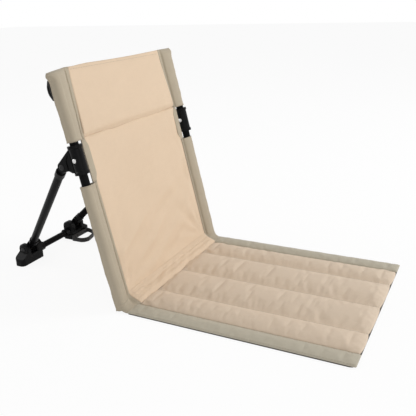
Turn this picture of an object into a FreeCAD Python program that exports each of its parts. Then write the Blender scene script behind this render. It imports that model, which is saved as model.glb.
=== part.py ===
import FreeCAD, Part
import math
import os
import Sketcher

# Folding ground chair: a cloth back on two side poles, a quilted seat on the floor and a rear
# stand whose two legs fold against the back. Millimetres; +Z up, the seat points to -Y, left
# and right are as seen from in front, and the origin is the middle of the seat's underside.

V = FreeCAD.Vector
SIDES = {"left": -1, "right": 1}

# Driving dimensions: alias, value, what it measures
DRIVING = [
    ("chair_width", 400, "outer width of the cloth"),
    ("seat_length", 426, "seat from its front edge to the fold line"),
    ("back_length", 452, "back from the fold line to its top edge"),
    ("back_lean", 13, "lean of the back from upright, degrees"),
    ("fold_height", 5.5, "fold line above the floor"),
    ("floor_gap", 0.3, "pole ends above the floor"),
    ("cloth", 1.2, "one layer of cloth"),
    ("cloth_gap", 0.3, "clearance round soft pieces"),
    ("fit_clearance", 0.05, "radial clearance of pins, plugs and sockets"),
    ("overcut", 1, "how far a cut or a pad runs past the surface it meets"),
    ("pole_diameter", 16, "side pole"),
    ("tube_wall", 1.2, "wall of every tube"),
    ("pole_setback", 13, "pole axis behind the fold line"),
    ("pole_top_drop", 14, "pole end below the top edge"),
    ("cap_plug", 10, "cap's plug inside the tube"),
    ("cap_head", 3, "cap's head"),
    ("sleeve_width", 38, "flat width of a pole sleeve"),
    ("hem_height", 322, "seam across the back"),
    ("panel_bow", 7, "hollow of the back at its middle"),
    ("panel_bow_low", 0.3, "hollow of the back at its foot"),
    ("panel_bow_top", 3.5, "hollow of the back at its top edge"),
    ("panel_cloth", 1.8, "back panel with its lining"),
    ("window_height", 80, "opening in the sleeve round a hub"),
    ("window_drop", 8, "middle of that opening below the middle of the hub"),
    ("binding_width", 9, "bound edge of that opening"),
    ("binding_thickness", 2.8, "bound edge of that opening"),
    ("strip_height", 30, "curved strip over the fold line"),
    ("welt_radius", 5, "rolled welt on the fold line"),
    ("hub_height", 290, "middle of a hub up its pole"),
    ("hub_length", 53, "sleeve of a hub"),
    ("hub_wall", 4.2, "sleeve of a hub"),
    ("hub_rim", 1.4, "rims at the sleeve's ends"),
    ("rim_height", 5, "rims at the sleeve's ends"),
    ("rivet_diameter", 4, "hub rivet"),
    ("rivet_head", 8, "hub rivet's head across"),
    ("rivet_head_height", 1.5, "hub rivet's head"),
    ("pivot_setback", 36, "leg pivot behind the pole axis"),
    ("pivot_drop", 8, "leg pivot below the middle of the hub"),
    ("pivot_pin", 6, "leg pivot and foot pin"),
    ("pin_head", 11, "pin head across"),
    ("pin_head_height", 2, "pin head"),
    ("cheek_radius", 10, "rounded end of a hub's fork"),
    ("cheek", 4, "thickness of a fork cheek"),
    ("fork_slot", 12, "radius of the slot between the cheeks"),
    ("arch_run", 13, "hub's arch in front of the leg pivot"),
    ("arch_drop", 8.5, "hub's arch below the leg pivot"),
    ("arch_round", 8, "rounding of that arch"),
    ("web_recess", 1.4, "depth of the recess in a hub's web"),
    ("web_margin", 3, "rim left round that recess"),
    ("web_bevel", 0.8, "bevel round a hub's web and cheeks"),
    ("eye_thickness", 8, "upper eye of a leg"),
    ("eye_clearance", 0.3, "upper eye to each cheek"),
    ("eye_radius", 8.5, "both eyes of a leg"),
    ("tongue_width", 15, "flat neck between eye and collar"),
    ("leg_bend", 14, "upper pivot to the start of the leg's slant"),
    ("foot_bend", 16, "foot pin to the start of the leg's slant"),
    ("leg_diameter", 16, "leg tube"),
    ("collar_length", 14, "collar at each end of a leg"),
    ("collar_wall", 1.5, "collar's step over the tube"),
    ("leg_plug", 24, "plug inside the leg tube"),
    ("foot_spread", 156, "between the two foot eyes"),
    ("foot_reach", 336, "foot pin behind the fold line"),
    ("foot_pin_height", 32, "foot pin above the floor"),
    ("foot_eye_width", 16, "lower eye of a leg"),
    ("foot_washer", 1.8, "washer beside a lower eye"),
    ("washer_radius", 7.5, "washer beside a lower eye"),
    ("foot_clearance", 0.1, "lower eye to each washer"),
    ("foot_radius", 13, "rounded ears of a foot"),
    ("foot_inner_ear", 17, "ear beside the cross bar"),
    ("foot_outer_ear", 12, "ear beside the toe"),
    ("toe_length", 18, "toe beyond the outer ear"),
    ("toe_top", 6.5, "top of the toe below the pin, at the ear"),
    ("toe_slope", 12, "fall of the toe towards its end"),
    ("toe_round", 9, "rounding of the toe's end"),
    ("foot_bevel", 2.5, "bevel round a foot's ears"),
    ("slot_depth", 12, "foot's slot below the pin"),
    ("bar_diameter", 14, "cross bar"),
    ("bar_drop", 13, "cross bar below the foot pin"),
    ("bar_collar_wall", 3, "foot's collar round the cross bar"),
    ("bar_collar", 12, "length of that collar"),
    ("socket_floor", 5, "solid between socket and slot"),
    ("pin_grip", 14, "foot pin's end inside the inner ear"),
    ("strap_width", 10, "strap loop's webbing"),
    ("strap_thickness", 2, "strap loop's webbing"),
    ("strap_span", 62, "strap loop along the foot"),
    ("strap_reach", 52, "strap loop in front of the foot"),
    ("strap_near_span", 24, "strap loop's nearer bend along the foot"),
    ("strap_near_reach", 30, "strap loop's nearer bend in front of the foot"),
    ("strap_lift", 0.6, "strap loop above the floor"),
    ("strap_round", 9, "strap loop's bends"),
    ("strap_rivet", 3, "rivet through the strap loop"),
    ("strap_rivet_head", 7, "that rivet's head across"),
    ("strap_rivet_hold", 8, "that rivet inside the foot"),
    ("strap_rivet_spacing", 28, "between the two rivets"),
    ("grab_drop", 56, "lower end of the grab loop below the top edge"),
    ("grab_length", 38, "grab loop along the pole"),
    ("grab_bulge", 12, "grab loop behind the sleeve"),
    ("grab_slope", 13, "run of the grab loop's slanted ends"),
    ("grab_width", 14, "grab loop's webbing"),
    ("grab_round", 5, "grab loop's bends"),
    ("fold_clearance", 0.4, "seat's rear edge to the welt"),
    ("seat_base", 1.5, "cloth under the seat"),
    ("seat_corner", 12, "rounded corners of the seat"),
    ("band_width", 38, "side band of the seat"),
    ("band_side", 2.2, "side band's edge"),
    ("band_crown", 5.6, "side band at its middle"),
    ("seam_spacing", 98, "between the seat's quilting lines"),
    ("seam_height", 1.8, "cover at a quilting line"),
    ("channel_crown", 10.5, "cover at the middle of a channel"),
    ("end_crown", 4, "cover at the drawn-in ends"),
    ("end_run", 20, "length over which the ends draw in"),
    ("end_fullness", 1, "extra height half way along that run"),
    ("foam_margin", 3, "foam short of the quilting lines"),
    ("foam_end", 7, "foam short of the cover's ends"),
    ("foam_side", 0.6, "foam at its long edges"),
]


class Size:
    """A dimension worked out from the sheet: its value now and its expression."""

    def __init__(self, value, text):
        self.value = float(value)
        self.text = text

    def __float__(self):
        return self.value

    def combined(self, other, sign, value, swapped=False):
        text = other.text if isinstance(other, Size) else repr(float(other))
        first, second = (text, self.text) if swapped else (self.text, text)
        return Size(value, f"({first} {sign} {second})")

    def __add__(self, other):
        return self.combined(other, "+", self.value + float(other))

    def __sub__(self, other):
        return self.combined(other, "-", self.value - float(other))

    def __mul__(self, other):
        return self.combined(other, "*", self.value * float(other))

    def __truediv__(self, other):
        return self.combined(other, "/", self.value / float(other))

    def __radd__(self, other):
        return self.combined(other, "+", float(other) + self.value, True)

    def __rmul__(self, other):
        return self.combined(other, "*", float(other) * self.value, True)

    def __neg__(self):
        return Size(-self.value, f"(0 - {self.text})")


class Sizes:
    """The driving dimensions by name."""


doc = FreeCAD.newDocument("folding_chair")
sheet = doc.addObject("Spreadsheet::Sheet", "Sizes")
S = Sizes()
for row, (alias, value, meaning) in enumerate(DRIVING, 1):
    sheet.set(f"A{row}", meaning)
    sheet.set(f"B{row}", str(value))
    sheet.setAlias(f"B{row}", alias)
    setattr(S, alias, Size(value, f"Sizes.{alias}"))
doc.recompute()

nodes = []


def node(thing, label, placement=None):
    """Names a sub-part, sets it in its place and puts it on the list of files."""
    thing.Label = label
    if placement is not None:
        thing.Placement = placement
    nodes.append(thing)
    return thing


def bind(thing, **sizes):
    """Binds properties of a feature to the sheet."""
    for name, size in sizes.items():
        thing.setExpression(name, size.text)


def at(x=0, y=0, z=0, axis=V(1, 0, 0), angle=0):
    return FreeCAD.Placement(V(float(x), float(y), float(z)), FreeCAD.Rotation(axis, angle))


def new_body(name):
    return doc.addObject("PartDesign::Body", name)


def sketch(body, plane, name, offset=None):
    """An empty sketch on one of a body's origin planes, moved along the plane's normal."""
    drawn = body.newObject("Sketcher::SketchObject", f"{body.Name}_{name}")
    support = [part for part in body.Origin.OriginFeatures if part.Role == plane][0]
    drawn.AttachmentSupport = [(support, "")]
    drawn.MapMode = "FlatFace"
    if offset is not None:
        drawn.setExpression("AttachmentOffset.Base.z", offset.text)
    return drawn


def pin_point(drawn, geometry, point, x, y):
    """Fixes one point of a sketch by two bound distances from its origin."""
    for kind, size in (("DistanceX", x), ("DistanceY", y)):
        fixed = drawn.addConstraint(Sketcher.Constraint(kind, -1, 1, geometry, point, float(size)))
        if isinstance(size, Size):
            drawn.setExpression(f"Constraints[{fixed}]", size.text)


def outline(drawn, corners):
    """A closed outline of straight lines through the corners."""
    points = [V(float(x), float(y), 0) for x, y in corners]
    count = len(points)
    for i in range(count):
        drawn.addGeometry(Part.LineSegment(points[i], points[(i + 1) % count]), False)
    for i in range(count):
        drawn.addConstraint(Sketcher.Constraint("Coincident", i, 2, (i + 1) % count, 1))
    for i, (x, y) in enumerate(corners):
        pin_point(drawn, i, 1, x, y)


def circle(drawn, x, y, radius):
    centre = V(float(x), float(y), 0)
    ring = drawn.addGeometry(Part.Circle(centre, V(0, 0, 1), float(radius)), False)
    pin_point(drawn, ring, 3, x, y)
    size = drawn.addConstraint(Sketcher.Constraint("Radius", ring, float(radius)))
    drawn.setExpression(f"Constraints[{size}]", radius.text)


def pad(body, drawn, length, midplane=False):
    feature = body.newObject("PartDesign::Pad", f"{drawn.Name}_pad")
    feature.Profile = drawn
    feature.Midplane = midplane
    bind(feature, Length=length)
    doc.recompute()


def pocket(body, drawn, length, midplane=False, reverse=False):
    """Cuts a sketch into a body and makes sure that it did."""
    before = body.Shape.Volume
    feature = body.newObject("PartDesign::Pocket", f"{drawn.Name}_pocket")
    feature.Profile = drawn
    feature.Midplane = midplane
    feature.Reversed = reverse
    bind(feature, Length=length)
    doc.recompute()
    if body.Shape.Volume >= before:
        raise RuntimeError(f"{drawn.Name} cuts nothing")


def revolve(body, drawn):
    feature = body.newObject("PartDesign::Revolution", f"{drawn.Name}_turned")
    feature.Profile = drawn
    feature.ReferenceAxis = (drawn, ["V_Axis"])
    feature.Angle = 360
    doc.recompute()


def round_edges(body, name, radius, wanted):
    """Fillets the edges of a body that answer to a test."""
    base = body.Tip
    edges = base.Shape.Edges
    chosen = [f"Edge{i}" for i, edge in enumerate(edges, 1) if wanted(edge)]
    feature = body.newObject("PartDesign::Fillet", f"{body.Name}_{name}")
    feature.Base = (base, chosen)
    bind(feature, Radius=radius)
    doc.recompute()


def bevel_edges(body, name, width, wanted):
    """Chamfers the edges of a body that answer to a test."""
    base = body.Tip
    edges = base.Shape.Edges
    chosen = [f"Edge{i}" for i, edge in enumerate(edges, 1) if wanted(edge)]
    feature = body.newObject("PartDesign::Chamfer", f"{body.Name}_{name}")
    feature.Base = (base, chosen)
    bind(feature, Size=width)
    doc.recompute()


def hollow(body, wall, open_faces):
    """Turns a body into a band of even thickness, open at the faces that answer to a test."""
    base = body.Tip
    chosen = [f"Face{i}" for i, face in enumerate(base.Shape.Faces, 1) if open_faces(face)]
    feature = body.newObject("PartDesign::Thickness", f"{body.Name}_band")
    feature.Base = (base, chosen)
    feature.Reversed = True
    bind(feature, Value=wall)
    doc.recompute()


def cylinder(name, radius, height, placement=None):
    rod = doc.addObject("Part::Cylinder", name)
    bind(rod, Radius=radius)
    if isinstance(height, Size):
        bind(rod, Height=height)
    else:
        rod.Height = height
    if placement is not None:
        rod.Placement = placement
    return rod


def cut(name, base, tool):
    feature = doc.addObject("Part::Cut", name)
    feature.Base = base
    feature.Tool = tool
    return feature


def tube(name, diameter, length):
    outer = cylinder(f"{name}_outside", diameter / 2, length)
    inner = cylinder(f"{name}_bore", diameter / 2 - S.tube_wall, length)
    return cut(name, outer, inner)


def group(label, members):
    """Like fasteners as one node of separate solids."""
    together = doc.addObject("Part::Compound", label)
    together.Links = members
    return node(together, label)


def soft(label, shape, placement=None):
    """A soft piece whose lofted form is worked out here from the sheet's values."""
    feature = doc.addObject("Part::Feature", label)
    feature.Shape = shape
    return node(feature, label, placement)


def turned_stud(name, shank, grip, head, head_height):
    """A stud along Z with a low domed head at each end; grip is half its clear length."""
    body = new_body(name)
    drawn = sketch(body, "XZ_Plane", "profile")
    crown = grip + head_height
    outline(drawn, [
        (0, -crown), (head / 4, -crown), (head / 2, -(grip + head_height / 3)), (head / 2, -grip),
        (shank, -grip), (shank, grip),
        (head / 2, grip), (head / 2, grip + head_height / 3), (head / 4, crown), (0, crown)])
    revolve(body, drawn)
    return body


# Places that several pieces share
half_width = S.chair_width / 2
fold_y = S.seat_length / 2
pole_radius = S.pole_diameter / 2
sleeve_bore = pole_radius + S.cloth_gap
sleeve_outside = sleeve_bore + S.cloth
pole_x = half_width - sleeve_outside
seam_x = half_width - S.sleeve_width
lean = math.radians(float(S.back_lean))
BACK = at(0, fold_y, S.fold_height, V(1, 0, 0), -float(S.back_lean))


def on_back(x, rear, up):
    """Placement of a piece in the leaning frame of the back: across, behind the fold, up the pole."""
    return BACK.multiply(at(x, rear, up))


# Side poles, their caps and the hubs
pole_reach = float(S.pole_setback + pole_radius) * math.sin(lean)
pole_foot = (pole_reach - float(S.fold_height) + float(S.floor_gap)) / math.cos(lean)
pole_foot = pole_foot + float(S.cap_head)
pole_length = float(S.back_length - S.pole_top_drop) - pole_foot
pivot_y = S.pivot_setback
pivot_z = -S.pivot_drop
web_half = S.eye_thickness / 2 + S.eye_clearance + S.cheek
hub_bore = pole_radius + S.fit_clearance
hub_outside = hub_bore + S.hub_wall
hub_half = S.hub_length / 2


def side_pole(side):
    name = f"{side}_side_pole"
    drill = cylinder(
        f"{name}_drill", S.rivet_diameter / 2 + S.fit_clearance, S.pole_diameter * 2,
        at(-pole_radius * 2, 0, float(S.hub_height) - pole_foot, V(0, 1, 0), 90))
    pole = cut(name, tube(f"{name}_tube", S.pole_diameter, pole_length), drill)
    node(pole, name, on_back(SIDES[side] * pole_x, S.pole_setback, pole_foot))


def pole_cap(side, end):
    """A plug with a bevelled head for one end of a pole."""
    body = new_body(f"{side}_{end}_cap")
    drawn = sketch(body, "XZ_Plane", "profile")
    plug = pole_radius - S.tube_wall - S.fit_clearance
    outline(drawn, [
        (0, -S.cap_plug), (plug, -S.cap_plug), (plug, 0), (pole_radius, 0),
        (pole_radius, S.cap_head / 2), (pole_radius - S.cap_head / 2, S.cap_head), (0, S.cap_head)])
    revolve(body, drawn)
    up = pole_foot + pole_length if end == "top" else pole_foot
    place = on_back(SIDES[side] * pole_x, S.pole_setback, up)
    turn = at(angle=0 if end == "top" else 180)
    body.Placement = place.multiply(turn)
    return body


def hub(side):
    """A rimmed sleeve on the pole with a hollowed web behind it that ends in a fork."""
    name = f"{side}_hub"
    body = new_body(name)
    rim = hub_outside + S.hub_rim
    shoulder = hub_half - S.rim_height
    drawn = sketch(body, "YZ_Plane", "sleeve")
    outline(drawn, [
        (hub_bore, -hub_half), (rim, -hub_half), (rim, -shoulder),
        (hub_outside, -(shoulder - S.hub_rim)), (hub_outside, shoulder - S.hub_rim),
        (rim, shoulder), (rim, hub_half), (hub_bore, hub_half)])
    revolve(body, drawn)

    fork = sketch(body, "YZ_Plane", "fork")
    circle(fork, pivot_y, pivot_z, S.cheek_radius)
    pad(body, fork, web_half * 2, True)

    in_wall = hub_bore + S.hub_wall / 2
    slope = math.sqrt(0.5)
    arch_y = pivot_y - S.arch_run
    arch_z = pivot_z - S.arch_drop
    web = sketch(body, "YZ_Plane", "web")
    outline(web, [
        (in_wall, shoulder), (pivot_y + S.cheek_radius * slope, pivot_z + S.cheek_radius * slope),
        (pivot_y, pivot_z - S.cheek_radius), (arch_y, arch_z),
        (hub_outside + S.hub_rim * 2, -shoulder), (in_wall, -shoulder)])
    pad(body, web, web_half * 2, True)

    def in_arch(edge):
        box = edge.BoundBox
        middle = box.Center
        lengthwise = box.XLength > float(web_half) and box.YLength + box.ZLength < 0.01
        return lengthwise and math.hypot(middle.y - float(arch_y), middle.z - float(arch_z)) < 0.01

    round_edges(body, "arch", S.arch_round, in_arch)

    def on_web_rim(edge):
        box = edge.BoundBox
        flat = box.XLength < 0.01 and abs(abs(box.Center.x) - float(web_half)) < 0.01
        return flat and box.YMax > float(hub_outside + S.hub_rim)

    bevel_edges(body, "rim", S.web_bevel, on_web_rim)

    slot = sketch(body, "YZ_Plane", "slot")
    circle(slot, pivot_y, pivot_z, S.fork_slot)
    pocket(body, slot, S.eye_thickness + S.eye_clearance * 2, True)

    far = pivot_y - S.cheek_radius - S.web_margin
    near = hub_outside + S.web_margin
    for face in (-1, 1):
        recess = sketch(body, "YZ_Plane", f"recess{face + 1}", web_half * face)
        outline(recess, [
            (near, shoulder - S.web_margin * 3), (far, pivot_z + S.cheek_radius),
            (far, arch_z + S.web_margin), (near, arch_z + S.web_margin)])
        pocket(body, recess, S.web_recess * 2, True)

    pivot_hole = sketch(body, "YZ_Plane", "pivot_hole")
    circle(pivot_hole, pivot_y, pivot_z, S.pivot_pin / 2 + S.fit_clearance)
    pocket(body, pivot_hole, web_half * 4, True)
    rivet_hole = sketch(body, "YZ_Plane", "rivet_hole")
    circle(rivet_hole, 0, 0, S.rivet_diameter / 2 + S.fit_clearance)
    pocket(body, rivet_hole, hub_outside * 4, True)
    node(body, name, on_back(SIDES[side] * pole_x, S.pole_setback, S.hub_height))


for side in SIDES:
    side_pole(side)
    hub(side)
group("pole_caps", [pole_cap(side, end) for side in SIDES for end in ("top", "foot")])

ALONG_X = at(axis=V(0, 1, 0), angle=90)
rivets = []
pins = []
for side in SIDES:
    rivet = turned_stud(
        f"{side}_hub_rivet", S.rivet_diameter / 2, hub_outside, S.rivet_head, S.rivet_head_height)
    rivet.Placement = on_back(SIDES[side] * pole_x, S.pole_setback, S.hub_height).multiply(ALONG_X)
    rivets.append(rivet)
    pin = turned_stud(
        f"{side}_leg_pin", S.pivot_pin / 2, web_half, S.pin_head, S.pin_head_height)
    pin.Placement = on_back(
        SIDES[side] * pole_x, S.pole_setback + pivot_y, S.hub_height + pivot_z).multiply(ALONG_X)
    pins.append(pin)
group("hub_rivets", rivets)
group("leg_pivot_pins", pins)

# Rear stand: legs that run inwards and down from the hubs to the feet
pivot = on_back(pole_x, S.pole_setback + pivot_y, S.hub_height + pivot_z).Base
foot_x = S.foot_spread / 2
foot_pin = V(float(foot_x), float(fold_y + S.foot_reach), float(S.foot_pin_height))
drop = V(0, foot_pin.y - pivot.y, foot_pin.z - pivot.z)
slant_run = drop.Length - float(S.leg_bend + S.foot_bend)
slant = math.atan2(pivot.x - foot_pin.x, slant_run)
slant_length = slant_run / math.cos(slant)
leg_radius = S.leg_diameter / 2
down_turn = math.degrees(math.atan2(-drop.y, drop.z))


def leg_frame(side, end):
    """Frame at a leg's eye: X across the chair, Z along the leg seen from the side."""
    sign = SIDES[side]
    if end == "upper":
        return at(sign * pivot.x, pivot.y, pivot.z, V(1, 0, 0), down_turn)
    return at(sign * foot_pin.x, foot_pin.y, foot_pin.z, V(1, 0, 0), down_turn + 180)


def slant_frame(side, end):
    """Frame inside an eye's own, at the bend, with Z along the tube."""
    bend = S.leg_bend if end == "upper" else S.foot_bend
    outwards = SIDES[side] if end == "foot" else -SIDES[side]
    return at(0, 0, bend, V(0, 1, 0), math.degrees(slant) * outwards)


def leg_eye(side, end):
    """An eye on a flat tongue, and a slanted collar whose plug goes into the leg tube."""
    name = f"{side}_leg_{end}_eye"
    width = S.eye_thickness if end == "upper" else S.foot_eye_width
    bend = S.leg_bend if end == "upper" else S.foot_bend
    across = at(-width / 2, 0, 0, V(0, 1, 0), 90)
    eye = cylinder(f"{name}_ring", S.eye_radius, width, across)
    tongue = doc.addObject("Part::Box", f"{name}_tongue")
    bind(tongue, Length=width, Width=S.tongue_width, Height=bend + S.collar_length / 2)
    tongue.Placement = at(-width / 2, -S.tongue_width / 2, 0)
    slanted = slant_frame(side, end)
    collar = cylinder(f"{name}_collar", leg_radius + S.collar_wall, S.collar_length, slanted)
    plug = cylinder(
        f"{name}_plug", leg_radius - S.tube_wall - S.fit_clearance, S.collar_length + S.leg_plug, slanted)
    whole = doc.addObject("Part::MultiFuse", f"{name}_whole")
    whole.Shapes = [eye, tongue, collar, plug]
    hole = cylinder(
        f"{name}_hole", S.pivot_pin / 2 + S.fit_clearance, width * 2, at(-width, 0, 0, V(0, 1, 0), 90))
    node(cut(name, whole, hole), name, leg_frame(side, end))


def leg(side):
    name = f"{side}_leg"
    tube_length = slant_length - 2 * float(S.collar_length)
    place = leg_frame(side, "upper").multiply(slant_frame(side, "upper"))
    leg_tube = tube(name, S.leg_diameter, tube_length)
    node(leg_tube, name, place.multiply(at(0, 0, S.collar_length)))


for side in SIDES:
    leg_eye(side, "upper")
    leg(side)
    leg_eye(side, "foot")

# Feet, their cross bar, pins, washers and the strap loop
half_slot = S.foot_eye_width / 2 + S.foot_clearance + S.foot_washer
inner_face = half_slot + S.foot_inner_ear
outer_face = half_slot + S.foot_outer_ear
toe_end = outer_face + S.toe_length
socket_depth = S.bar_collar + S.foot_inner_ear - S.socket_floor
bar_radius = S.bar_diameter / 2
strap_x = (toe_end - inner_face) / 2
strap_z = S.strap_lift + S.strap_width / 2
strap_back = S.foot_radius + S.cloth_gap


def foot(side):
    """A forked foot on the cross bar, with two ears for the leg's eye and a toe at its outer end."""
    name = f"{side}_foot"
    body = new_body(name)
    block = sketch(body, "YZ_Plane", "block", -inner_face)
    outline(block, [
        (-S.foot_radius, -S.foot_pin_height), (S.foot_radius, -S.foot_pin_height),
        (S.foot_radius, 0), (-S.foot_radius, 0)])
    pad(body, block, inner_face + toe_end)
    toe = sketch(body, "XZ_Plane", "toe")
    outline(toe, [
        (outer_face, -S.toe_top), (toe_end + S.overcut, -(S.toe_top + S.toe_slope)),
        (toe_end + S.overcut, S.overcut), (outer_face, S.overcut)])
    pocket(body, toe, S.foot_radius * 3, True)

    def at_toe_end(edge):
        box = edge.BoundBox
        return box.XMin > float(toe_end) - 0.01 and box.ZMax > -float(S.foot_pin_height - S.overcut)

    round_edges(body, "toe_end", S.toe_round, at_toe_end)
    ears = sketch(body, "YZ_Plane", "ears", -inner_face)
    circle(ears, 0, 0, S.foot_radius)
    pad(body, ears, inner_face + outer_face)
    slot = sketch(body, "XZ_Plane", "slot")
    outline(slot, [
        (-half_slot, -S.slot_depth), (half_slot, -S.slot_depth),
        (half_slot, S.foot_radius + S.overcut), (-half_slot, S.foot_radius + S.overcut)])
    pocket(body, slot, S.foot_radius * 3, True)

    def on_ear_top(edge):
        box = edge.BoundBox
        flat = box.XLength < 0.01
        return flat and box.ZMax > float(S.foot_radius) - 0.01

    bevel_edges(body, "ear_tops", S.foot_bevel, on_ear_top)
    collar = sketch(body, "YZ_Plane", "collar", -(inner_face + S.bar_collar))
    circle(collar, 0, -S.bar_drop, bar_radius + S.bar_collar_wall)
    pad(body, collar, S.bar_collar + S.overcut)
    socket = sketch(body, "YZ_Plane", "socket", -(inner_face + S.bar_collar))
    circle(socket, 0, -S.bar_drop, bar_radius + S.fit_clearance)
    pocket(body, socket, socket_depth, reverse=True)
    pin_hole = sketch(body, "YZ_Plane", "pin_hole", outer_face)
    circle(pin_hole, 0, 0, S.pivot_pin / 2 + S.fit_clearance)
    pocket(body, pin_hole, outer_face + half_slot + S.pin_grip + S.fit_clearance * 2)
    if side == "right":
        holes = sketch(body, "XZ_Plane", "rivet_holes", S.foot_radius)
        for step in (-1, 1):
            circle(holes, strap_x + S.strap_rivet_spacing / 2 * step, strap_z - S.foot_pin_height,
                   S.strap_rivet / 2 + S.fit_clearance)
        pocket(body, holes, S.strap_rivet_hold + S.fit_clearance)
    turn = 0 if side == "right" else 180
    node(body, name, at(SIDES[side] * foot_x, foot_pin.y, foot_pin.z, V(0, 0, 1), turn))


def foot_pin_stud(side):
    """A pin with one domed head, put in from the toe's side."""
    body = new_body(f"{side}_foot_pin")
    drawn = sketch(body, "XZ_Plane", "profile")
    radius = S.pivot_pin / 2
    tail = half_slot + S.pin_grip
    head = S.pin_head / 2
    outline(drawn, [
        (0, -tail), (radius, -tail), (radius, outer_face), (head, outer_face),
        (head, outer_face + S.pin_head_height / 2), (head / 2, outer_face + S.pin_head_height),
        (0, outer_face + S.pin_head_height)])
    revolve(body, drawn)
    out = at(axis=V(0, 1, 0), angle=90 * SIDES[side])
    body.Placement = at(SIDES[side] * foot_x, foot_pin.y, foot_pin.z).multiply(out)
    return body


def foot_washer(side, face):
    name = f"{side}_washer{face + 1}"
    disc = cylinder(f"{name}_disc", S.washer_radius, S.foot_washer)
    hole = cylinder(f"{name}_hole", S.pivot_pin / 2 + S.fit_clearance, S.foot_washer)
    ring = cut(name, disc, hole)
    start = S.foot_eye_width / 2 + S.foot_clearance
    turn = at(axis=V(0, 1, 0), angle=90 * face)
    ring.Placement = at(SIDES[side] * foot_x + start * face, foot_pin.y, foot_pin.z).multiply(turn)
    return ring


foot("left")
foot("right")
group("foot_pins", [foot_pin_stud(side) for side in SIDES])
group("foot_washers", [foot_washer(side, face) for side in SIDES for face in (-1, 1)])
bar_half = foot_x - half_slot - S.socket_floor - S.fit_clearance
bar = tube("foot_bar", S.bar_diameter, bar_half * 2)
node(bar, "foot_bar", at(-bar_half, foot_pin.y, foot_pin.z - float(S.bar_drop), V(0, 1, 0), 90))


def strap_loop():
    """A sewn ring of webbing on edge, its rear run held flat on the front of the right foot."""
    body = new_body("strap_loop")
    drawn = sketch(body, "XY_Plane", "ring")
    half = S.strap_span / 2
    outline(drawn, [
        (-half, 0), (-half, -S.strap_reach), (S.strap_near_span, -S.strap_near_reach), (half, 0)])
    pad(body, drawn, S.strap_width)

    def upright(edge):
        return edge.BoundBox.ZLength > float(S.strap_width) - 0.01

    def front_bend(edge):
        return upright(edge) and edge.BoundBox.YMax < -1

    def rear_bend(edge):
        return upright(edge) and edge.BoundBox.YMin > -0.01

    round_edges(body, "front_bends", S.strap_round, front_bend)
    round_edges(body, "rear_bends", S.strap_thickness * 1.5, rear_bend)
    hollow(body, S.strap_thickness, lambda face: face.BoundBox.ZLength < 0.01)
    holes = sketch(body, "XZ_Plane", "rivet_holes")
    for step in (-1, 1):
        circle(holes, S.strap_rivet_spacing / 2 * step, S.strap_width / 2,
               S.strap_rivet / 2 + S.fit_clearance)
    pocket(body, holes, S.strap_thickness * 3, True)
    node(body, "strap_loop", at(foot_x + strap_x, foot_pin.y - float(strap_back), S.strap_lift))


def strap_rivet(step):
    """A rivet that holds the strap loop's rear run on the foot; its axis points to the front."""
    body = new_body(f"strap_rivet{step + 1}")
    drawn = sketch(body, "XZ_Plane", "profile")
    radius = S.strap_rivet / 2
    head = S.strap_rivet_head / 2
    under = S.cloth_gap + S.strap_thickness
    outline(drawn, [
        (0, -S.strap_rivet_hold), (radius, -S.strap_rivet_hold), (radius, under), (head, under),
        (head / 2, under + S.rivet_head_height), (0, under + S.rivet_head_height)])
    revolve(body, drawn)
    x = foot_x + strap_x + S.strap_rivet_spacing / 2 * step
    body.Placement = at(x, foot_pin.y - float(S.foot_radius), strap_z, V(1, 0, 0), 90)
    return body


strap_loop()
group("strap_rivets", [strap_rivet(step) for step in (-1, 1)])

# Cloth of the back: panels, pole sleeves, bound edges of the hub openings and the fold strip
window_middle = S.hub_height - S.window_drop
window_low = window_middle - S.window_height / 2
window_high = window_middle + S.window_height / 2
panel_edge = float(seam_x - S.cloth_gap)
panel_half = float(S.panel_cloth / 2)


def curved_band(half, up, bow):
    """Level section of the hollow back: a band between two shallow arcs."""
    rear = float(S.pole_setback)
    front = Part.Arc(V(-half, rear - panel_half, up), V(0, rear + bow - panel_half, up),
                     V(half, rear - panel_half, up)).toShape()
    back = Part.Arc(V(half, rear + panel_half, up), V(0, rear + bow + panel_half, up),
                    V(-half, rear + panel_half, up)).toShape()
    right = Part.LineSegment(V(half, rear - panel_half, up), V(half, rear + panel_half, up)).toShape()
    left = Part.LineSegment(V(-half, rear + panel_half, up), V(-half, rear - panel_half, up)).toShape()
    return Part.Wire([front, right, back, left])


def back_panel(label, low, high, low_bow, high_bow):
    middle_bow = max(low_bow, high_bow)
    sections = [
        curved_band(panel_edge, low, low_bow),
        curved_band(panel_edge, (low + high) / 2, middle_bow),
        curved_band(panel_edge, high, high_bow)]
    soft(label, Part.makeLoft(sections, True), BACK)


seam_gap = float(S.cloth_gap) / 2
hem = float(S.hem_height)
top_edge = float(S.back_length)
bow = float(S.panel_bow)
back_panel(
    "lower_back_panel", float(S.strip_height) + seam_gap, hem - seam_gap, float(S.panel_bow_low), bow)
back_panel("upper_back_panel", hem + seam_gap, top_edge, bow, float(S.panel_bow_top))


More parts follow.
